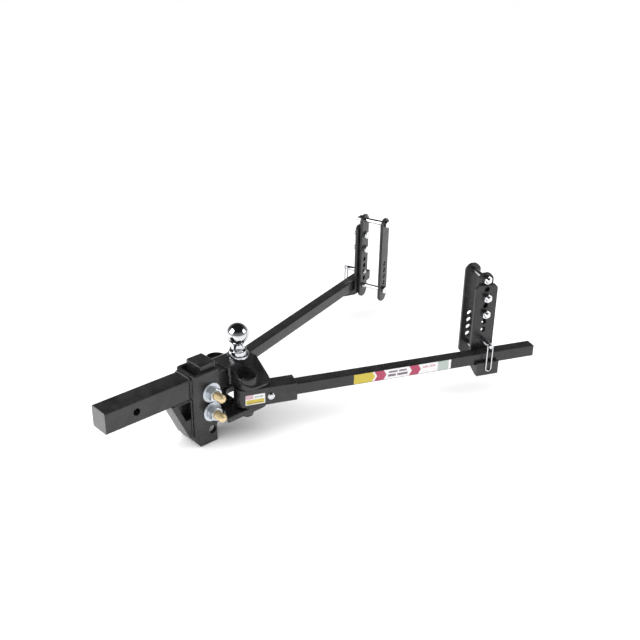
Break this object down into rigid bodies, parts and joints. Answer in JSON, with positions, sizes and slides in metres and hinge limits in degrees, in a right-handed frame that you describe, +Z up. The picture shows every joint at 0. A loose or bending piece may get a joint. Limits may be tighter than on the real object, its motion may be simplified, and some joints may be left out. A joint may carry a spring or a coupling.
{
  "type": "weight distribution hitch",
  "caption": "Weight distribution hitch: receiver shank, tilting ball head, swinging spring arms and bolt-on frame brackets.",
  "frame": {"origin": "centre of the shank bar's front end face", "axes": "+X back towards the trailer along the shank bar, +Y to the tow vehicle's right, +Z up"},
  "size_m": [1.0368, 0.6267, 0.307],
  "materials": {
    "black_paint": "satin black powder coat",
    "arm_coating": "semi-gloss black coat on spring steel",
    "chrome": "polished chrome plate",
    "bright_zinc": "bright zinc plate",
    "yellow_zinc": "yellow zinc plate",
    "blue_zinc": "clear blue zinc plate",
    "black_steel": "black oxide",
    "bronze": "bearing bronze"
  },
  "bodies": {
    "shank": {"shank_bar": "black_paint", "shank_channel": "black_paint", "shank_gusset": "black_paint", "upper_clamp_bolt": "yellow_zinc", "lower_clamp_bolt": "yellow_zinc", "upper_clamp_nut": "blue_zinc", "lower_clamp_nut": "blue_zinc", "upper_head_washer": "blue_zinc", "upper_nut_washer": "blue_zinc", "lower_head_washer": "blue_zinc", "lower_nut_washer": "blue_zinc"},
    "head": {"head_neck": "black_paint", "head_top_plate": "black_paint", "head_bottom_plate": "black_paint", "hitch_ball": "chrome", "ball_lock_washer": "blue_zinc", "ball_nut": "blue_zinc", "left_pivot_bolt": "black_steel", "left_pivot_nut": "black_steel", "left_upper_friction_washer": "black_steel", "left_lower_friction_washer": "black_steel", "right_pivot_bolt": "black_steel", "right_pivot_nut": "black_steel", "right_upper_friction_washer": "black_steel", "right_lower_friction_washer": "black_steel"},
    "left_arm": {"left_socket": "black_paint", "left_bushing": "bronze", "left_spring_arm": "arm_coating"},
    "left_retainer": {"left_retaining_pin": "chrome"},
    "left_bracket": {"left_inner_plate": "black_paint", "left_outer_plate": "black_paint", "left_angle_bracket": "black_paint", "left_low_frame_bolt": "bright_zinc", "left_top_frame_bolt": "bright_zinc", "left_low_frame_nut": "bright_zinc", "left_top_frame_nut": "bright_zinc", "left_low_angle_bolt": "bright_zinc", "left_top_angle_bolt": "bright_zinc", "left_low_angle_nut": "bright_zinc", "left_top_angle_nut": "bright_zinc"},
    "left_pin": {"left_lock_pin": "chrome"},
    "left_loop": {"left_bail": "chrome"},
    "right_arm": {"right_socket": "black_paint", "right_bushing": "bronze", "right_spring_arm": "arm_coating"},
    "right_retainer": {"right_retaining_pin": "chrome"},
    "right_bracket": {"right_inner_plate": "black_paint", "right_outer_plate": "black_paint", "right_angle_bracket": "black_paint", "right_low_frame_bolt": "bright_zinc", "right_top_frame_bolt": "bright_zinc", "right_low_frame_nut": "bright_zinc", "right_top_frame_nut": "bright_zinc", "right_low_angle_bolt": "bright_zinc", "right_top_angle_bolt": "bright_zinc", "right_low_angle_nut": "bright_zinc", "right_top_angle_nut": "bright_zinc"},
    "right_pin": {"right_lock_pin": "chrome"},
    "right_loop": {"right_bail": "chrome"}
  },
  "joints": [
    {"name": "head_tilt", "type": "hinge", "parent": "shank", "child": "head", "pos_m": [0.2538, 0, -0.019], "axis": [0, 1, 0], "range_deg": [-5, 5]},
    {"name": "left_arm_swing", "type": "hinge", "parent": "head", "child": "left_arm", "pos_m": [0.3365, -0.056, -0.047], "axis": [0, 0, -1], "range_deg": [-12, 50]},
    {"name": "left_retaining_pin_slide", "type": "slide", "parent": "left_arm", "child": "left_retainer", "axis": [-0.4051, -0.9143, 0], "range_m": [0, 0.055]},
    {"name": "left_bracket_slide", "type": "slide", "parent": "left_arm", "child": "left_bracket", "axis": [0.9143, -0.4051, 0], "range_m": [-0.1, 0.06]},
    {"name": "left_lock_pin_slide", "type": "slide", "parent": "left_bracket", "child": "left_pin", "axis": [-0.4051, -0.9143, 0], "range_m": [0, 0.065]},
    {"name": "left_bail_swing", "type": "hinge", "parent": "left_pin", "child": "left_loop", "pos_m": [0.86899, -0.32052, -0.0095], "axis": [-0.9143, 0.4051, 0], "range_deg": [0, 170]},
    {"name": "right_arm_swing", "type": "hinge", "parent": "head", "child": "right_arm", "pos_m": [0.3365, 0.056, -0.047], "axis": [0, 0, 1], "range_deg": [-12, 50]},
    {"name": "right_retaining_pin_slide", "type": "slide", "parent": "right_arm", "child": "right_retainer", "axis": [-0.2706, 0.9627, 0], "range_m": [0, 0.055]},
    {"name": "right_bracket_slide", "type": "slide", "parent": "right_arm", "child": "right_bracket", "axis": [0.9627, 0.2706, 0], "range_m": [-0.1, 0.06]},
    {"name": "right_lock_pin_slide", "type": "slide", "parent": "right_bracket", "child": "right_pin", "axis": [-0.2706, 0.9627, 0], "range_m": [0, 0.065]},
    {"name": "right_bail_swing", "type": "hinge", "parent": "right_pin", "child": "right_loop", "pos_m": [0.95711, 0.25756, -0.0095], "axis": [0.9627, 0.2706, 0], "range_deg": [0, 170]}
  ]
}
